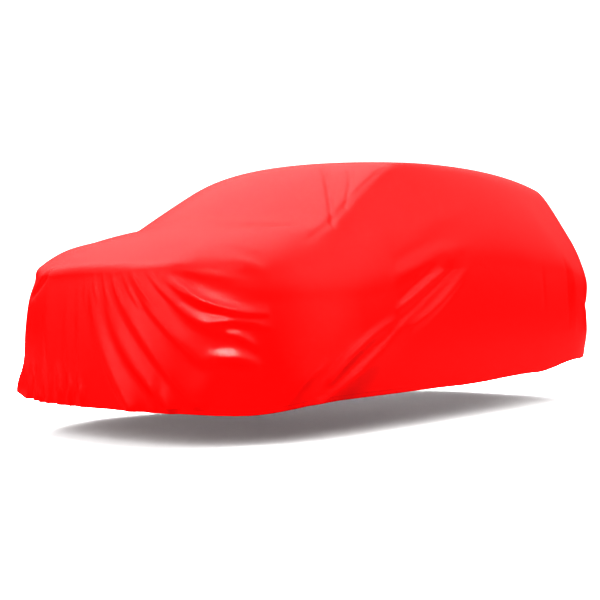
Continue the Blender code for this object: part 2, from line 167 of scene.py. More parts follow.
# %% [markdown]
# ## Joining two heights softly
#
# Three small helpers do all the blending. One reads a table of rows and eases between them. The other
# two take the lower or the upper of two heights. A plain minimum would leave a knife edge that no
# cloth has, so a parabola rounds it, and its width is the one number to set.

# %% Helpers that ease and round
def along_rows(rows, column, at):
    """A column's value between two rows, eased so that it never overshoots them."""
    table = np.array(rows)
    places, values = table[:, 0], table[:, column]
    cell = np.clip(np.searchsorted(places, at, side="right") - 1, 0, len(places) - 2)
    share = np.clip((at - places[cell]) / (places[cell + 1] - places[cell]), 0.0, 1.0)
    return values[cell] + (values[cell + 1] - values[cell]) * share * share * (3.0 - 2.0 * share)


def lower_of(a, b, softness):
    """The lower of two heights, less a parabola that rounds their corner over the softness."""
    share = np.clip(0.5 + 0.5 * (b - a) / softness, 0.0, 1.0)
    return b * (1.0 - share) + a * share - softness * share * (1.0 - share)


def upper_of(a, b, softness):
    """The upper of two heights, rounded in the same way."""
    return -lower_of(-a, -b, softness)


print("a rounding 0.1 m wide takes", round(-float(lower_of(0.0, 0.0, 0.1)), 4), "m off a ridge")

# %% [markdown]
# ## The height of the top at any place
#
# Now the planes can be put together. Each is a line of arithmetic on whole arrays, so asking for one
# height or for a hundred thousand is the same call.

# %% Heights of the top
def bonnet_height(x):
    """A parabola that rises from the leading edge."""
    return LIP_Z + BONNET_RISE * (x - LIP_X) - BONNET_ROUND * (x - LIP_X) ** 2


def middle_height(x, y):
    """Upper of bonnet and cabin, the cabin being the lower of screen, roof and tailgate."""
    sweep = SCREEN_SWEEP * (y / CROWN_SPAN) ** 2
    past_foot = np.maximum(x - SCREEN_FOOT_X, 0.0)
    screen = bonnet_height(SCREEN_FOOT_X) + SCREEN_RISE * (x - SCREEN_FOOT_X - sweep)
    screen = screen - SCREEN_ROUND * past_foot ** 2
    roof = ROOF_Z - ROOF_ROUND * (x - ROOF_X) ** 2
    tailgate = TAILGATE_Z - TAILGATE_FALL * (x - TAILGATE_X)
    cabin = lower_of(lower_of(screen, roof, HEADER_SOFT), tailgate, SPOILER_SOFT)
    return upper_of(bonnet_height(x), cabin, COWL_SOFT)


def top_height(x, y):
    """Lower of the crowned top and the cabin side, which falls by its slope from the belt up."""
    belt_x, belt_z = np.array(BELT_ROWS).T
    belt = np.polyval(np.polyfit(belt_x, belt_z, 2), x)
    to_roof = np.clip((x - LIP_X) / (ROOF_CROWN_X - LIP_X), 0.0, 1.0)
    crown = BONNET_CROWN + (ROOF_CROWN - BONNET_CROWN) * to_roof
    top = middle_height(x, y) - crown * (y / CROWN_SPAN) ** 2
    cabin_half = SHOULDER["half_width"] - CABIN_TAPER * (x - CABIN_X) ** 2
    side = belt + (cabin_half - np.abs(y)) * along_rows(SLOPE_ROWS, 1, x)
    return lower_of(top, side, along_rows(RAIL_ROWS, 1, x))


print("roof", round(float(top_height(0.9, 0.0)), 3), "m above the ground")

# %% [markdown]
# ## From the spine over the shoulder to the hem
#
# One grid covers everything. Its rows start on the spine, run outwards over the top, bend over the
# shoulder on a quadratic curve and drop to the hem. Rows lie closer where the folds are. With a
# single grid there is no seam to hide, and the hem is simply its last row, turned under.

# %% Rows and steps of the grid
BEND_ROWS = (                          # columns: girth from the nose, reach of the bend at the shoulder
    (0.00, 0.034),
    (0.52, 0.040),
    (0.78, 0.150),
    (1.00, 0.160),
    (1.60, 0.130),
    (2.80, 0.200),
    (3.70, 0.190),
    (4.25, 0.080),
    (6.00, 0.080),
)
HEM_ROWS = (                           # columns: girth from the nose, height of near and far hem
    (0.00, 0.189, 0.189),
    (0.25, 0.187, 0.191),
    (0.40, 0.184, 0.204),
    (0.58, 0.176, 0.236),
    (0.95, 0.161, 0.235),
    (1.50, 0.210, 0.205),
    (2.60, 0.222, 0.228),
    (3.70, 0.258, 0.262),
    (4.40, 0.330, 0.325),
    (5.10, 0.378, 0.372),
    (6.00, 0.385, 0.385),
)
WALL_BULGE = 0.020                     # how far the walls swell out at half height
SPINE_FRONT_X, SPINE_REAR_X = -1.40, 1.50  # ends of the line that the grid starts on
INNER_ROWS, CABIN_ROWS, SHARE_OF_INNER = 20, 42, 0.60
BEND_STEPS, WALL_STEPS = 9, 64
print(INNER_ROWS + CABIN_ROWS, "rows over the top,", BEND_STEPS, "round the bend,", WALL_STEPS, "down")

# %% [markdown]
# ## Laying the grid over the form
#
# Each station now gets its column of points, from the spine out to the shoulder and down to the hem.
# The girth, the length walked from the middle of the nose, gives every column a place name that
# the folds can use later. The normals tell the folds which way is out.

# %% The body grid
LEAST_LENGTH = 1e-12                   # keeps a division by a length of nothing from failing


def girth_of(x, y):
    """Length along an outline from the middle of the nose, negative on the far side."""
    length = np.concatenate([[0.0], np.cumsum(np.hypot(np.diff(x), np.diff(y)))])
    whole = length[-1] + np.hypot(x[0] - x[-1], y[0] - y[-1])
    return np.where(length > whole / 2, length - whole, length)


def body_grid():
    """(rows, stations, 3) points above the ground, and each station's girth."""
    hem_x, hem_y = full_outline(HEM)
    girth = girth_of(shoulder_x, shoulder_y)
    bend = along_rows(BEND_ROWS, 1, np.abs(girth))[:, None]
    near, far = (along_rows(HEM_ROWS, column, np.abs(girth)) for column in (1, 2))
    hem = np.stack([hem_x, hem_y, np.where(girth >= 0, near, far)], axis=-1)
    corner = np.stack([shoulder_x, shoulder_y, top_height(shoulder_x, shoulder_y)], axis=-1)

    share = (shoulder_x - SHOULDER["nose"]) / (SHOULDER["tail"] - SHOULDER["nose"])
    spine_x = SPINE_FRONT_X + (SPINE_REAR_X - SPINE_FRONT_X) * share
    spine = np.stack([spine_x, np.zeros_like(spine_x)], axis=-1)
    inward = spine - corner[:, :2]
    inner = corner[:, :2] + inward / np.linalg.norm(inward, axis=-1, keepdims=True) * bend
    bend_top = np.concatenate([inner, top_height(inner[:, 0], inner[:, 1])[:, None]], axis=-1)
    down = hem - corner
    bend_foot = corner + down / np.linalg.norm(down, axis=-1, keepdims=True) * bend

    t_top = np.concatenate([
        np.linspace(0.0, SHARE_OF_INNER, INNER_ROWS, endpoint=False),
        np.linspace(SHARE_OF_INNER, 1.0, CABIN_ROWS, endpoint=False),
    ])[:, None, None]
    plan = spine * (1.0 - t_top) + inner * t_top
    top = np.concatenate([plan, top_height(plan[..., 0], plan[..., 1])[..., None]], axis=-1)
    t = np.linspace(0.0, 1.0, BEND_STEPS, endpoint=False)[:, None, None]
    bent = (1 - t) ** 2 * bend_top + 2 * t * (1 - t) * corner + t * t * bend_foot
    t = np.linspace(0.0, 1.0, WALL_STEPS + 1)[:, None, None]
    wall = bend_foot * (1 - t) + hem * t
    wall = wall + plan_outward(shoulder_x, shoulder_y) * WALL_BULGE * 4 * t * (1 - t)
    return np.concatenate([top, bent, wall]), girth


def plan_outward(x, y):
    """Level unit normals of a closed outline that is walked with its inside on the left."""
    along_x = np.roll(x, -1) - np.roll(x, 1)
    along_y = np.roll(y, -1) - np.roll(y, 1)
    size = np.hypot(along_x, along_y)
    return np.stack([along_y / size, -along_x / size, np.zeros_like(x)], axis=-1)


def grid_normals(points):
    """Unit normals from the cross product of the two grid directions, turned to face outwards."""
    round_it = np.roll(points, -1, axis=1) - np.roll(points, 1, axis=1)
    normals = np.cross(np.gradient(points, axis=0), round_it)
    normals[0] = normals[1]
    normals /= np.maximum(np.linalg.norm(normals, axis=-1, keepdims=True), LEAST_LENGTH)
    inwards = ((points - points.mean(axis=(0, 1))) * normals).sum(axis=-1) < 0
    normals[inwards] *= -1.0
    return normals


body, girth = body_grid()
print("body grid", body.shape[0], "rows by", body.shape[1], "stations")

# %% [markdown]
# ## Folds
#
# A fold in tight cloth is a long ridge with one steep and one easy flank. Light from above catches
# the easy flank and leaves the steep one dark, and that pair is what the eye reads as a fold. Each
# row gives a path through three places on the wall (girth from the nose, height above the ground),
# how far the ridge spreads to its left and right, and how far it stands out. A simulation would
# give folds too, but not these folds in these places.

# %% One fold as a relief
FOLD_STEPS = 14                        # straight steps along a path
FOLD_REACH = 3.0                       # a fold has died away at this many spreads from its path
TINY = 1e-9                            # keeps the division right on the path from failing


def quadratic(t, start, middle, end):
    """A smooth run from start to end that passes the middle value half way."""
    return start * (1 - t) * (1 - 2 * t) + middle * 4 * t * (1 - t) + end * t * (2 * t - 1)


def fold_relief(across, up, row):
    """Height of a bell curve round the path, exp(-(gap / spread)^2), with its own spread each side.

    Past the path's ends the two spreads blend with the sine of the angle, so that no step shows.
    """
    _, a0, u0, a1, u1, a2, u2, left, right, out0, out1, out2 = row
    reach = FOLD_REACH * max(left, right)
    near = (across > min(a0, a1, a2) - reach) & (across < max(a0, a1, a2) + reach)
    near &= (up > min(u0, u1, u2) - reach) & (up < max(u0, u1, u2) + reach)
    a, u = across[near], up[near]
    t = np.linspace(0.0, 1.0, FOLD_STEPS + 1)
    path_a, path_u = quadratic(t, a0, a1, a2), quadratic(t, u0, u1, u2)
    nearest, side, where = np.full(a.shape, np.inf), np.zeros(a.shape), np.zeros(a.shape)
    for i in range(FOLD_STEPS):
        da, du = path_a[i + 1] - path_a[i], path_u[i + 1] - path_u[i]
        share = np.clip(((a - path_a[i]) * da + (u - path_u[i]) * du) / (da * da + du * du), 0.0, 1.0)
        off_a, off_u = a - path_a[i] - share * da, u - path_u[i] - share * du
        gap = np.hypot(off_a, off_u)
        closer = gap < nearest
        nearest = np.where(closer, gap, nearest)
        turned = (off_u * da - off_a * du) / (np.maximum(gap, TINY) * np.hypot(da, du))
        side = np.where(closer, turned, side)
        where = np.where(closer, t[i] + share * (t[i + 1] - t[i]), where)
    spread = left + (right - left) * (0.5 + 0.5 * side)
    relief = np.zeros(across.shape)
    relief[near] = quadratic(where, out0, out1, out2) * MM * np.exp(-(nearest / spread) ** 2)
    return relief


sample = fold_relief(np.zeros(1), np.zeros(1), ("sample", -1, 0, 0, 0, 1, 0, 0.02, 0.02, 5, 5, 5))
print("a fold 5 mm high measures", round(float(sample[0]) / MM, 2), "mm on its path")

# %% [markdown]
# ## The folds of the nose
#
# Below the bonnet's edge the cloth hangs in long pleats that sweep round the near front corner. Above
# them lie a shelf, a knee and a swell, the big soft shapes that catch the light. Fine gathers run
# down from the edge, and others start at the hem, where the elastic pulls.

# %% Folds of the nose
# Columns: name, girth and height at start, middle and end, spread to the left and right of a fold
# that is followed downwards, and how far it stands out at start, middle and end in millimetres.
NOSE_FOLDS = (
    ("pleat 1", 0.135, 0.81, 0.240, 0.50, 0.41, 0.20, 0.029, 0.050, 1, 22, 28),
    ("pleat 2", 0.235, 0.79, 0.355, 0.50, 0.60, 0.21, 0.022, 0.060, 2, 19, 24),
    ("pleat 3", 0.275, 0.80, 0.48, 0.505, 0.70, 0.23, 0.022, 0.070, 2, 24, 16),
    ("pleat 4", 0.385, 0.80, 0.56, 0.585, 0.73, 0.42, 0.022, 0.066, 8, 16, 16),
    ("pleat 5", 0.53, 0.80, 0.655, 0.640, 0.80, 0.556, 0.022, 0.046, 5, 20, 12),
    ("shelf ridge", 0.57, 0.79, 0.77, 0.664, 1.02, 0.635, 0.017, 0.029, 8, 35, 8),
    ("shelf crest", 0.60, 0.776, 0.75, 0.680, 0.90, 0.650, 0.009, 0.014, 2, 9, 2),
    ("shelf hollow", 0.58, 0.845, 0.72, 0.780, 0.95, 0.742, 0.032, 0.026, -4, -14, -3),
    ("knee", 0.76, 0.588, 0.88, 0.592, 1.02, 0.572, 0.015, 0.036, 5, 23, 6),
    ("knee fall", 0.835, 0.535, 0.905, 0.520, 0.975, 0.468, 0.014, 0.028, 4, 18, 4),
    ("corner swell", 0.80, 0.428, 0.895, 0.424, 0.99, 0.390, 0.034, 0.032, 9, 27, 5),
    ("corner line", 0.79, 0.380, 0.770, 0.310, 0.745, 0.240, 0.070, 0.045, 6, 14, 12),
    ("nose fold 1", 0.04, 0.80, 0.085, 0.47, 0.085, 0.24, 0.018, 0.070, 1, 7, 11),
    ("nose fold 2", -0.05, 0.80, -0.02, 0.50, 0.01, 0.24, 0.016, 0.065, 1, 5, 9),
    ("nose fold 3", -0.24, 0.78, -0.20, 0.52, -0.15, 0.26, 0.022, 0.075, 1, 6, 9),
    ("far edge trough", -0.26, 0.885, -0.31, 0.810, -0.46, 0.730, 0.022, 0.022, -6, -16, -9),
    ("far corner cut", -0.38, 0.87, -0.50, 0.845, -0.70, 0.82, 0.040, 0.080, -8, -16, -12),
    ("bonnet lip", -0.22, 0.87, 0.02, 0.865, 0.26, 0.87, 0.040, 0.050, 3, 8, 2),
    ("bonnet edge", 0.34, 0.90, 0.50, 0.90, 0.62, 0.91, 0.045, 0.045, -3, -14, -8),
    ("far edge fold", -0.42, 0.66, -0.47, 0.50, -0.52, 0.32, 0.055, 0.070, 2, 7, 4),
    ("edge gather 1", 0.150, 0.835, 0.172, 0.760, 0.205, 0.690, 0.008, 0.011, 1, 6, 1),
    ("edge gather 2", 0.208, 0.838, 0.240, 0.755, 0.285, 0.665, 0.007, 0.010, 1, 7, 1),
    ("edge gather 3", 0.262, 0.838, 0.310, 0.745, 0.372, 0.640, 0.008, 0.010, 1, 7, 1),
    ("edge gather 4", 0.325, 0.836, 0.385, 0.740, 0.450, 0.655, 0.007, 0.011, 1, 8, 1),
    ("edge gather 5", 0.372, 0.838, 0.445, 0.742, 0.535, 0.650, 0.007, 0.010, 1, 8, 1),
    ("edge gather 6", 0.455, 0.838, 0.525, 0.755, 0.590, 0.690, 0.008, 0.011, 1, 7, 1),
    ("edge gather 7", 0.090, 0.825, 0.100, 0.745, 0.118, 0.660, 0.009, 0.013, 1, 3, 1),
    ("hem gather 1", -0.395, 0.330, -0.380, 0.285, -0.390, 0.225, 0.010, 0.016, 1, 13, 12),
    ("hem gather 2", -0.290, 0.375, -0.300, 0.300, -0.275, 0.215, 0.011, 0.020, 1, 15, 13),
    ("hem gather 3", -0.170, 0.340, -0.160, 0.270, -0.185, 0.205, 0.012, 0.018, 1, 15, 11),
    ("hem gather 4", -0.105, 0.400, -0.075, 0.310, -0.095, 0.205, 0.012, 0.020, 1, 16, 12),
    ("hem gather 5", 0.010, 0.350, 0.020, 0.275, -0.005, 0.205, 0.011, 0.018, 1, 13, 11),
    ("hem gather 6", 0.085, 0.330, 0.105, 0.265, 0.095, 0.200, 0.010, 0.017, 1, 12, 9),
)
print(len(NOSE_FOLDS), "folds on the nose")

# %% [markdown]
# ## The folds of the sides
#
# The side is pulled tight from the shoulder near the tail down to the hem behind the nose, and the
# cloth answers with slanting ridges along that pull. Only the near side can be seen. The far side
# repeats it, weaker and shifted, so that the cover doesn't look mirrored.

# %% Folds of the sides
SIDE_FOLDS = (                         # the same columns
    ("arch ridge", 1.92, 0.605, 1.62, 0.482, 1.40, 0.31, 0.026, 0.036, 4, 15, 10),
    ("low ridge", 2.05, 0.625, 1.70, 0.410, 1.34, 0.20, 0.024, 0.085, 4, 16, 12),
    ("long ridge", 2.74, 0.94, 2.38, 0.712, 2.08, 0.575, 0.030, 0.028, 1, 15, 9),
    ("long trough", 2.58, 0.930, 2.22, 0.740, 1.92, 0.580, 0.024, 0.022, -4, -8, -3),
    ("band ridge", 2.64, 1.005, 2.24, 0.808, 1.96, 0.670, 0.028, 0.024, 2, 14, 6),
    ("band trough", 2.64, 1.060, 2.28, 0.875, 1.98, 0.715, 0.018, 0.022, -3, -13, -6),
    ("belt ridge 2", 2.74, 1.105, 2.36, 0.960, 1.94, 0.840, 0.046, 0.022, 3, 13, 5),
    ("belt trough", 2.82, 1.180, 2.42, 1.085, 1.96, 0.925, 0.020, 0.026, -5, -15, -8),
    ("belt ridge 1", 2.84, 1.240, 2.44, 1.160, 2.02, 1.000, 0.032, 0.022, 3, 10, 5),
    ("belt wrinkle 1", 2.70, 1.150, 2.40, 1.010, 2.08, 0.905, 0.014, 0.014, 1, 6, 2),
    ("belt wrinkle 2", 2.69, 1.090, 2.42, 0.945, 2.14, 0.825, 0.013, 0.014, 1, 7, 2),
    ("belt wrinkle 3", 2.56, 0.985, 2.36, 0.850, 2.16, 0.740, 0.012, 0.014, 1, 5, 1),
    ("cabin wrinkle 1", 2.10, 1.360, 2.26, 1.235, 2.46, 1.165, 0.030, 0.024, -2, -6, -2),
    ("cabin wrinkle 2", 2.46, 1.330, 2.66, 1.250, 2.92, 1.215, 0.026, 0.022, -2, -5, -2),
    ("mirror swell", 1.74, 1.09, 1.85, 1.075, 1.98, 1.05, 0.070, 0.060, 5, 12, 4),
    ("door fold", 2.12, 0.90, 2.02, 0.86, 1.90, 0.78, 0.040, 0.040, 2, 6, 2),
    ("cabin fold 1", 2.19, 1.42, 2.22, 1.34, 2.31, 1.27, 0.030, 0.030, -2, -5, -2),
    ("cabin fold 2", 2.37, 1.40, 2.52, 1.36, 2.70, 1.325, 0.026, 0.026, -2, -5, -2),
    ("sill fold", 1.34, 0.38, 1.24, 0.31, 1.16, 0.22, 0.024, 0.024, 3, 6, 4),
    ("fender fold", 0.84, 0.935, 0.94, 0.915, 1.04, 0.880, 0.016, 0.016, -4, -11, -4),
    ("fender lip", 0.86, 0.893, 0.94, 0.872, 1.05, 0.835, 0.014, 0.020, 3, 10, 3),
    ("fender hollow", 0.84, 0.825, 0.91, 0.815, 1.00, 0.800, 0.026, 0.026, -3, -8, -2),
    ("quarter trough", 4.18, 1.06, 4.195, 0.84, 4.19, 0.58, 0.018, 0.015, -5, -16, -5),
    ("quarter fold", 4.26, 1.08, 4.28, 0.84, 4.30, 0.56, 0.022, 0.034, 4, 12, 4),
    ("quarter soft fold", 3.78, 0.96, 3.776, 0.84, 3.77, 0.70, 0.030, 0.026, -2, -5, -2),
    ("bumper notch", 4.44, 0.75, 4.80, 0.73, 5.20, 0.73, 0.034, 0.034, -3, -9, -5),
    ("bumper swell", 4.50, 0.52, 4.90, 0.55, 5.30, 0.55, 0.090, 0.090, 4, 9, 5),
)
FAR_ECHO, FAR_SHIFT = 0.80, 0.09       # strength of the far side's folds, and metres they are moved
print(len(SIDE_FOLDS), "folds on each side")

# %% [markdown]
# ## The folds of the tail
#
# The tail is out of sight, so it gets what its outline shows, a swell at belt height, and three easy
# folds. The girth changes sign in its middle. A fold that crosses it would be cut in two, so we let the
# girth of this part run on instead.

# %% Folds of the tail
TAIL_MIDDLE = float(np.abs(girth).max())
TAIL_FOLDS = (                         # the same columns
    ("tail belt", 4.30, 0.91, TAIL_MIDDLE, 0.91, 2 * TAIL_MIDDLE - 4.30, 0.91, 0.120, 0.110, 10, 34, 10),
    ("tail fold 1", 5.35, 1.00, 5.32, 0.70, 5.38, 0.42, 0.040, 0.055, 2, 9, 10),
    ("tail fold 2", 5.72, 1.02, 5.78, 0.72, 5.74, 0.42, 0.045, 0.050, 2, 8, 11),
    ("tail fold 3", 6.12, 1.00, 6.10, 0.70, 6.16, 0.42, 0.050, 0.040, 2, 9, 9),
)


def past_tail(girth):
    """Girth that runs on past the middle of the tail instead of changing sign."""
    return np.where(girth < 0, girth + 2 * TAIL_MIDDLE, girth)


def wall_relief(girth, height):
    """All folds of the nose, sides and tail, added up."""
    relief = sum(fold_relief(girth, height, row) for row in NOSE_FOLDS)
    for row in SIDE_FOLDS:
        relief += fold_relief(girth, height, row)
        relief += FAR_ECHO * fold_relief(-girth - FAR_SHIFT, height, row)
    return relief + sum(fold_relief(past_tail(girth), height, row) for row in TAIL_FOLDS)


print(len(TAIL_FOLDS), "folds on the tail, whose middle is", round(TAIL_MIDDLE, 2), "m round from the nose")

# %% [markdown]
# ## The folds of the top
#
# The top's few folds are placed in plan instead, by x and y, because the girth means nothing in the
# middle of a roof. Two sharp ones run down from the corner of the roof, where the cloth turns from
# the screen to the side. The rest are broad and shallow.

# %% Folds of the top
# Columns: name, x and y at start, middle and end, spread to either side, and how far it stands out
# at start, middle and end in millimetres.
TOP_FOLDS = (
    ("header fold 1", -0.80, -0.43, -0.99, -0.610, -1.21, -0.815, 0.016, 0.018, -4, -13, -8),
    ("header fold 2", -0.79, -0.61, -0.93, -0.715, -1.07, -0.790, 0.014, 0.016, -4, -10, -5),
    ("pillar crease", -0.56, -0.728, -1.00, -0.782, -1.50, -0.826, 0.014, 0.016, -3, -5, -1),
    ("far header fold", -0.70, 0.46, -0.94, 0.64, -1.12, 0.78, 0.030, 0.022, -4, -8, -4),
    ("screen hollow", -1.50, -0.30, -1.52, 0.00, -1.50, 0.30, 0.090, 0.090, -3, -6, -3),
    ("bonnet crown", -1.93, 0.55, -1.97, 0.36, -1.94, 0.05, 0.080, 0.110, 3, 20, 3),
    ("roof ripple 1", 0.10, -0.50, 0.18, 0.00, 0.12, 0.50, 0.060, 0.060, 2, -4, 2),
    ("roof ripple 2", 1.05, -0.48, 0.98, 0.00, 1.05, 0.48, 0.060, 0.060, 2, -4, 2),
)
print(len(TOP_FOLDS), "folds on the top")

# %% [markdown]
# ## The gathered hem
#
# At the hem the elastic gathers the cloth: small puckers that fade within a hand's width above the
# edge. They are a wave along the girth whose spacing drifts, because even puckers look machined. At
# the far front corner the hem flares out, which the outline shows.

# %% Puckers of the hem
PUCKER_ROWS = (                        # columns: first and last girth, how many, millimetres out
    (-0.62, 0.14, 9, 8),
    (0.20, 1.00, 6, 4),
    (4.60, 7.00, 24, 7),
)
PUCKER_HEIGHT = 0.13                   # height over which they fade
PUCKER_DRIFT, PUCKER_SWINGS = 0.35, 2.3    # how far and how often their spacing drifts
TAIL_GIRTH = 4.0                       # rows that start past this run on round the tail
FLARE_GIRTH, FLARE_WIDTH, FLARE_OUT, FLARE_HEIGHT = -0.54, 0.15, 0.046, 0.10


def hem_relief(girth, height, hem_height):
    """Drifting waves that die away upwards, and the flare of the far front corner."""
    above = height - hem_height
    relief = np.zeros(height.shape)
    for first, last, count, out in PUCKER_ROWS:
        place = past_tail(girth) if first > TAIL_GIRTH else girth
        share = np.clip((place - first) / (last - first), 0.0, 1.0)
        uneven = share + PUCKER_DRIFT / count * np.sin(2 * np.pi * share * PUCKER_SWINGS)
        relief += out * MM * np.sin(2 * np.pi * count * uneven) * np.sin(np.pi * share)
    relief *= np.exp(-(above / PUCKER_HEIGHT) ** 2)
    flare = np.exp(-((girth - FLARE_GIRTH) / FLARE_WIDTH) ** 2) * np.exp(-(above / FLARE_HEIGHT) ** 2)
    return relief + FLARE_OUT * flare


print(sum(count for _, _, count, _ in PUCKER_ROWS), "puckers in the hem")

# %% [markdown]
# ## Laying the folds on the form
#
# All reliefs are added up and every point moves out along its own normal. The spine stays put, because
# the two halves meet there.

# %% The folded cloth
def folded(points):
    """The grid with every fold laid on it along its normals."""
    across = np.broadcast_to(girth, points.shape[:2])
    height = points[..., 2]
    in_top = np.arange(len(points))[:, None] < INNER_ROWS + CABIN_ROWS
    relief = wall_relief(across, height) + hem_relief(across, height, height[-1])
    for row in TOP_FOLDS:
        relief += np.where(in_top, fold_relief(points[..., 0], points[..., 1], row), 0.0)
    relief[0] = 0.0
    return points + grid_normals(points) * relief[..., None]


cloth = folded(body)
print("the folds move the cloth by up to", round(float(np.abs(cloth - body).max()) / MM, 1), "mm")

# %% [markdown]
# ## The turned hem
#
# The maker folds the edge inwards round the elastic and sews it down, so the hem is a round edge
# and not a cut one. We carry the last row on: round the bottom, and up inside by the hem's width.

# %% Turn the hem under
HEM_ROUND = 0.003                      # radius of the turned edge
HEM_TURN = 0.028                       # how far the cloth goes back up inside
HEM_ARC_STEPS = 4


def with_hem(points):
    """Adds a half circle below the last row, then a short wall that goes back up inside."""
    outward = grid_normals(points)[-1]
    outward[:, 2] = 0.0
    outward /= np.linalg.norm(outward, axis=-1, keepdims=True)
    up = np.array([0.0, 0.0, 1.0])
    centre = points[-1] - outward * HEM_ROUND
    rows = []
    for turn in np.linspace(0.0, np.pi, HEM_ARC_STEPS + 1)[1:]:
        rows.append(centre + (outward * np.cos(turn) - up * np.sin(turn)) * HEM_ROUND)
    rows.append(rows[-1] + up * HEM_TURN)
    return np.concatenate([points, np.array(rows)])


sheet_points = with_hem(cloth) + np.array([0.0, 0.0, FLOOR_Z])
print("with the hem", sheet_points.shape[0], "rows")

# %% [markdown]
# ## The mesh
#
# Quads join each row to the next and close round the girth. Each point also gets its place on the
# cloth in metres, along the hem and up from it. Threads and stitches follow that map, so they keep
# their real size wherever the cloth bends.

# %% Build the sheet
HEM_ROW = len(cloth) - 1


def grid_faces(rows, around):
    """Corner numbers of the quads of a grid that closes round the girth, wound to face outwards."""
    row, station = np.meshgrid(np.arange(rows - 1), np.arange(around), indexing="ij")
    following = (station + 1) % around
    corners = [(row, station), (row + 1, station), (row + 1, following), (row, following)]
    return np.stack([r * around + s for r, s in corners], axis=-1).reshape(-1, 4)


def cloth_lengths(points):
    """(rows, stations + 1, 2) metres: along the hem from the nose, and up the cloth from the hem.

    One more station than the grid has closes the round, so that no face runs backwards over it.
    """
    closed = np.concatenate([points, points[:, :1]], axis=1)
    hem = closed[HEM_ROW]
    along = np.concatenate([[0.0], np.cumsum(np.linalg.norm(np.diff(hem, axis=0), axis=-1))])
    steps = np.linalg.norm(np.diff(closed, axis=0), axis=-1)
    down = np.concatenate([np.zeros((1, closed.shape[1])), np.cumsum(steps, axis=0)])
    up = down[HEM_ROW] - down
    return np.stack([np.broadcast_to(along, up.shape), up], axis=-1)


def make_sheet(name, points):
    """A mesh from a grid of points, shaded smooth, with a map in metres for its threads."""
    rows, around = points.shape[:2]
    faces = grid_faces(rows, around)
    mesh = bpy.data.meshes.new(name)
    mesh.from_pydata(points.reshape(-1, 3).tolist(), [], faces.tolist())
    row, station = faces // around, faces % around
    closing = (station == 0) & (station.max(axis=1, keepdims=True) == around - 1)
    lengths = cloth_lengths(points)[row, np.where(closing, around, station)]
    layer = mesh.uv_layers.new(name="cloth_metres")
    layer.data.foreach_set("uv", lengths.reshape(-1))
    mesh.update()
    mesh.shade_smooth()
    piece = bpy.data.objects.new(name, mesh)
    bpy.context.scene.collection.objects.link(piece)
    return piece


cover = make_sheet("cover_sheet", sheet_points)
print(cover.name, len(cover.data.polygons), "faces before the spine is merged")

# %% [markdown]
# ## Closing the spine
#
# Both halves brought their own copy of the spine's points. Merging what lies in the same place makes
# one surface of them. The face normals are then turned to one side, which tells the finish which side
# of the cloth is the reverse.

# %% Merge the spine
SAME_POINT = 0.0001

merged = bmesh.new()
merged.from_mesh(cover.data)
bmesh.ops.remove_doubles(merged, verts=merged.verts, dist=SAME_POINT)
bmesh.ops.recalc_face_normals(merged, faces=merged.faces)
merged.to_mesh(cover.data)
merged.free()
print(cover.name, len(cover.data.polygons), "faces")

# %% [markdown]
# ## The cloth's finish
#
# Stretch satin is smooth, so its colour is even and its gloss is soft and wide. Its red is deep:
# hardly any green or blue comes back from the dye, and what paleness there is comes from the gloss.
# The reverse is duller and darker. Three things too small to model go into the surface: crossed
# threads, small crumples in patches, and the row of stitches that holds the hem.
#
# A finish is a graph of nodes. Three helpers keep it readable: each adds a node, a sum or a mix of
# colours in one line.

# %% Helpers for nodes
def make_node(tree, kind, **sockets):
    """Adds a node and sets its input sockets, given by name with spaces as underscores."""
    node = tree.nodes.new(kind)
    for name, value in sockets.items():
        node.inputs[name.replace("_", " ")].default_value = value
    return node


def make_math(tree, operation, first, second):
    """A Math node. Each input is a number or another node's output."""
    node = tree.nodes.new("ShaderNodeMath")
    node.operation = operation
    for i, value in enumerate((first, second)):
        if isinstance(value, bpy.types.NodeSocket):
            tree.links.new(value, node.inputs[i])
        else:
            node.inputs[i].default_value = value
    return node.outputs[0]


def mix_colour(tree, share, first, second):
    """A colour mix. Colours are given, or come from another node's output."""
    node = tree.nodes.new("ShaderNodeMix")
    node.data_type = "RGBA"
    tree.links.new(share, node.inputs["Factor"])
    for name, value in (("A", first), ("B", second)):
        if isinstance(value, bpy.types.NodeSocket):
            tree.links.new(value, node.inputs[name])
        else:
            node.inputs[name].default_value = value
    return node.outputs["Result"]


print("helpers:", ", ".join(helper.__name__ for helper in (make_node, make_math, mix_colour)))

# %% [markdown]
# ## Threads and stitches
#
# Both are drawn from the map in metres. Threads are the product of two sines, one each way, and are
# a twentieth of a millimetre deep: they are felt in the gloss before they are seen. The stitches are
# short dashes in a row above the hem. Image textures could do both, but a formula stays sharp up close.

# %% Threads and stitches
THREADS_A_METRE, THREAD_DEPTH = 900.0, 0.00005
STITCH_UP, STITCH_WIDTH = 0.022, 0.0011
STITCH_PITCH, STITCH_SHARE, STITCH_HEIGHT = 0.0045, 0.68, 0.0006


def thread_height(tree, along, up):
    """Crossed threads: a sine along the hem times a sine up the cloth, times their depth."""
    turns = 2 * math.pi * THREADS_A_METRE
    warp = make_math(tree, "SINE", make_math(tree, "MULTIPLY", along, turns), 0.0)
    weft = make_math(tree, "SINE", make_math(tree, "MULTIPLY", up, turns), 0.0)
    return make_math(tree, "MULTIPLY", make_math(tree, "MULTIPLY", warp, weft), THREAD_DEPTH)


def stitch_share(tree, along, up):
    """1 on a stitch and 0 elsewhere: near the stitching height, for a share of every pitch."""
    off = make_math(tree, "ABSOLUTE", make_math(tree, "SUBTRACT", up, STITCH_UP), 0.0)
    in_row = make_math(tree, "LESS_THAN", off, STITCH_WIDTH / 2)
    step = make_math(tree, "FRACT", make_math(tree, "DIVIDE", along, STITCH_PITCH), 0.0)
    return make_math(tree, "MULTIPLY", in_row, make_math(tree, "LESS_THAN", step, STITCH_SHARE))


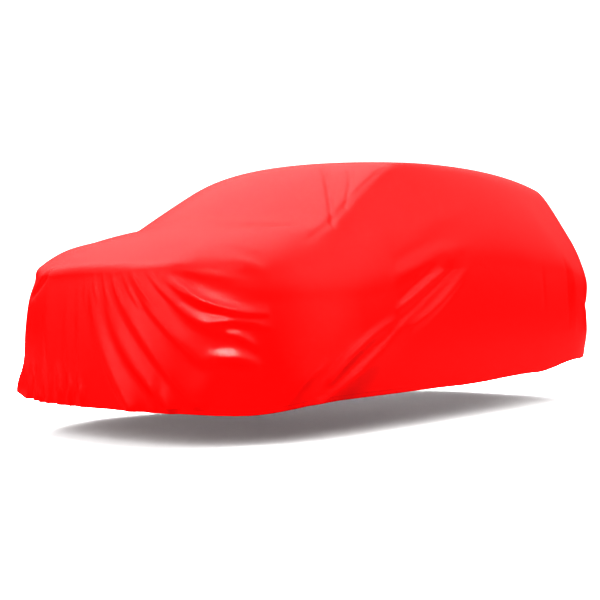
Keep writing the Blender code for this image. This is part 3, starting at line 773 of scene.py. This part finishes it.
print(round(1 / THREADS_A_METRE / MM, 2), "mm to a thread,", round(STITCH_PITCH / MM, 2), "mm to a stitch")

# %% [markdown]
# ## Red satin
#
# The two reds are close together and drift over the cloth in wide patches, as dyed cloth does. The
# crumples are strongest where a patch is, so that most of the cloth stays calm. All of it reads the
# cloth's own coordinates, so it looks the same from every side.

# %% Red satin
SATIN_RED = (0.88, 0.004, 0.004, 1.0)
SATIN_DEEP = (0.80, 0.003, 0.003, 1.0)
REVERSE_RED = (0.34, 0.010, 0.009, 1.0)
STITCH_RED = (0.45, 0.003, 0.003, 1.0)
SATIN_ROUGHNESS, SATIN_SPECULAR = 0.27, 0.50
PATCHES_A_METRE, PATCH_DETAIL, PATCH_TWIST = 2.2, 2.0, 0.4
CRUMPLES_A_METRE, CRUMPLE_DETAIL, CRUMPLE_TWIST, CRUMPLE_DEPTH = 9.0, 3.0, 1.6, 0.005


def noise_over(tree, place, scale, detail, twist):
    """A noise in object coordinates: how many to the metre, how fine, and how far it is twisted."""
    noise = make_node(tree, "ShaderNodeTexNoise", Scale=scale, Detail=detail, Distortion=twist)
    tree.links.new(place.outputs["Object"], noise.inputs["Vector"])
    return noise.outputs[0]


def satin_material():
    """Red satin from the sheet's own map in metres and its object coordinates."""
    material = bpy.data.materials.new("red_satin")
    material.use_nodes = True
    tree = material.node_tree
    shader = tree.nodes["Principled BSDF"]
    shader.inputs["Roughness"].default_value = SATIN_ROUGHNESS
    shader.inputs["Specular IOR Level"].default_value = SATIN_SPECULAR

    place = make_node(tree, "ShaderNodeTexCoord")
    lengths = make_node(tree, "ShaderNodeUVMap")
    lengths.uv_map = "cloth_metres"
    split = make_node(tree, "ShaderNodeSeparateXYZ")
    tree.links.new(lengths.outputs["UV"], split.inputs[0])
    along, up = split.outputs["X"], split.outputs["Y"]

    patches = noise_over(tree, place, PATCHES_A_METRE, PATCH_DETAIL, PATCH_TWIST)
    crumples = noise_over(tree, place, CRUMPLES_A_METRE, CRUMPLE_DETAIL, CRUMPLE_TWIST)
    stitched = stitch_share(tree, along, up)

    outer = mix_colour(tree, stitched, mix_colour(tree, patches, SATIN_RED, SATIN_DEEP), STITCH_RED)
    side = make_node(tree, "ShaderNodeNewGeometry")
    either = mix_colour(tree, side.outputs["Backfacing"], outer, REVERSE_RED)
    tree.links.new(either, shader.inputs["Base Color"])

    patch = make_math(tree, "MULTIPLY", patches, patches)
    crumple = make_math(tree, "MULTIPLY", make_math(tree, "MULTIPLY", crumples, patch), CRUMPLE_DEPTH)
    cloth_height = make_math(tree, "ADD", thread_height(tree, along, up), crumple)
    stitch_height = make_math(tree, "MULTIPLY", stitched, STITCH_HEIGHT)
    height = make_math(tree, "ADD", cloth_height, stitch_height)
    bump = make_node(tree, "ShaderNodeBump", Strength=1.0, Distance=1.0)
    tree.links.new(height, bump.inputs["Height"])
    tree.links.new(bump.outputs["Normal"], shader.inputs["Normal"])
    return material


cover.data.materials.append(satin_material())
print("finish:", cover.data.materials[0].name)

# %% [markdown]
# ## The floor
#
# The cover hangs at its real height over a plain pale floor. A white floor sends so much light up that
# the hem glows, and a dark one looks wrong. So this one looks pale to the camera and sends little
# light back, and a trace of glow of its own keeps the shadow from going black.

# %% The floor
FLOOR_REACH = 26.0
FLOOR_SEEN, FLOOR_GIVEN = 0.90, 0.03   # paleness to the camera, and for the light it sends back
FLOOR_LIFT = 0.10                      # keeps the shadow on the floor from going black
FLOOR_ROUGHNESS = 0.9


def make_floor():
    """A big level square that looks pale to the camera and sends little light back up."""
    mesh = bpy.data.meshes.new("floor")
    signs = ((-1, -1), (1, -1), (1, 1), (-1, 1))
    corners = [(x * FLOOR_REACH, y * FLOOR_REACH, FLOOR_Z) for x, y in signs]
    mesh.from_pydata(corners, [], [(0, 1, 2, 3)])
    floor = bpy.data.objects.new("floor", mesh)
    bpy.context.scene.collection.objects.link(floor)
    material = bpy.data.materials.new("pale_floor")
    material.use_nodes = True
    nodes, links = material.node_tree.nodes, material.node_tree.links
    shader = nodes["Principled BSDF"]
    either = nodes.new("ShaderNodeMix")
    either.data_type = "RGBA"
    either.inputs["A"].default_value = (FLOOR_GIVEN, FLOOR_GIVEN, FLOOR_GIVEN, 1.0)
    either.inputs["B"].default_value = (FLOOR_SEEN, FLOOR_SEEN, FLOOR_SEEN, 1.0)
    path = nodes.new("ShaderNodeLightPath")
    links.new(path.outputs["Is Camera Ray"], either.inputs["Factor"])
    links.new(either.outputs["Result"], shader.inputs["Base Color"])
    shader.inputs["Roughness"].default_value = FLOOR_ROUGHNESS
    shader.inputs["Specular IOR Level"].default_value = 0.0
    shader.inputs["Emission Color"].default_value = (1.0, 1.0, 1.0, 1.0)
    shader.inputs["Emission Strength"].default_value = FLOOR_LIFT
    mesh.materials.append(material)
    return floor


floor = make_floor()
print("floor at", FLOOR_Z, "m, which is the ground")

# %% [markdown]
# ## The dome
#
# Satin shows its surroundings in its gloss, so an even sky would leave it flat. The dome is dim except
# towards four directions, and each bright part gives one face of the cover its sheen. The camera
# itself sees plain white behind the cover.

# %% The dome
SKY_LEAST = 0.02
SKY_PARTS = (                          # columns: name, direction, the cosines to that direction
    ("above", (0.00, 0.00, 1.00), 0.00, 0.55, 0.56),       # where it starts and is full, strength
    ("far side", (-0.10, 0.45, 0.88), 0.50, 0.95, 0.28),
    ("front", (-0.90, 0.38, 0.10), 0.62, 0.97, 0.40),
    ("rear", (0.91, -0.42, 0.05), 0.90, 0.99, 0.12),
)


def make_sky():
    """A dome that is bright towards a few directions; the camera itself sees plain white."""
    world = bpy.data.worlds.new("studio")
    bpy.context.scene.world = world
    world.use_nodes = True
    tree = world.node_tree
    nodes, links = tree.nodes, tree.links
    nodes.clear()
    output = nodes.new("ShaderNodeOutputWorld")
    seen = nodes.new("ShaderNodeBackground")
    seen.inputs["Color"].default_value = (1.0, 1.0, 1.0, 1.0)
    dome = nodes.new("ShaderNodeBackground")
    mix = nodes.new("ShaderNodeMixShader")
    path = nodes.new("ShaderNodeLightPath")
    place = nodes.new("ShaderNodeTexCoord")
    strength = SKY_LEAST
    for _, direction, start, full, bright in SKY_PARTS:
        along = nodes.new("ShaderNodeVectorMath")
        along.operation = "DOT_PRODUCT"
        along.inputs[1].default_value = direction
        ramp = nodes.new("ShaderNodeMapRange")
        ramp.interpolation_type = "SMOOTHSTEP"
        ramp.inputs["From Min"].default_value = start
        ramp.inputs["From Max"].default_value = full
        ramp.inputs["To Max"].default_value = bright
        links.new(place.outputs["Generated"], along.inputs[0])
        links.new(along.outputs["Value"], ramp.inputs["Value"])
        strength = make_math(tree, "ADD", ramp.outputs[0], strength)
    links.new(strength, dome.inputs["Strength"])
    links.new(path.outputs["Is Camera Ray"], mix.inputs[0])
    links.new(dome.outputs[0], mix.inputs[1])
    links.new(seen.outputs[0], mix.inputs[2])
    links.new(mix.outputs[0], output.inputs[0])


make_sky()
print("dome with", len(SKY_PARTS), "bright parts")

# %% [markdown]
# ## The soft boxes
#
# The dome makes the sheen, and soft boxes make the colour. A very large one overhead lights the top,
# one at the side and one in front light the walls, and two weak ones near the ground keep the lower
# sides of the ridges from going brown. The key is small, near and narrow. It only puts the bright
# glint on the swell of the front corner, so it is the one lamp that shows in the gloss.

# %% The soft boxes
def make_lamp(name, place, target, size, power, beam, glints):
    """A square soft box that faces its target. One that glints shows in the gloss of the cloth."""
    data = bpy.data.lights.new(name, "AREA")
    data.shape, data.size, data.energy = "SQUARE", size, power
    data.spread = math.radians(beam)
    lamp = bpy.data.objects.new(name, data)
    lamp.location = place
    lamp.visible_glossy = glints
    aim = Vector(target) - Vector(place)
    lamp.rotation_euler = aim.to_track_quat("-Z", "Y").to_euler()
    bpy.context.scene.collection.objects.link(lamp)
    return lamp


# Columns: name, place, target, side in metres, power in watts, beam in degrees, whether it glints.
LAMPS = (
    ("key", (-2.87, -2.11, 0.72), (-1.95, -0.80, -1.20), 0.35, 0.36, 15.0, True),
    ("overhead", (2.0, 5.0, 18.0), (0.5, 1.5, -1.6), 26.0, 20000.0, 180.0, False),
    ("side", (3.4, -6.4, 3.6), (-0.4, -1.0, -0.9), 5.0, 395.0, 180.0, False),
    ("front", (-8.0, -1.6, 1.3), (-2.2, -0.1, -1.1), 4.0, 410.0, 180.0, False),
    ("near fill", (2.2, -7.0, -0.6), (0.7, -1.0, -1.0), 1.6, 14.0, 50.0, False),
    ("far fill", (2.2, 7.0, -0.6), (0.7, 1.0, -1.0), 1.6, 24.0, 50.0, False),
)
for row in LAMPS:
    make_lamp(*row)
bpy.context.scene.view_settings.view_transform = "Standard"
bpy.context.scene.view_settings.look = "Very High Contrast"
print(len(LAMPS), "soft boxes")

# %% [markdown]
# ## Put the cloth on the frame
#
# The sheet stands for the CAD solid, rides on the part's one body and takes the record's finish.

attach(cover, "root")
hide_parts("cover_cloth")
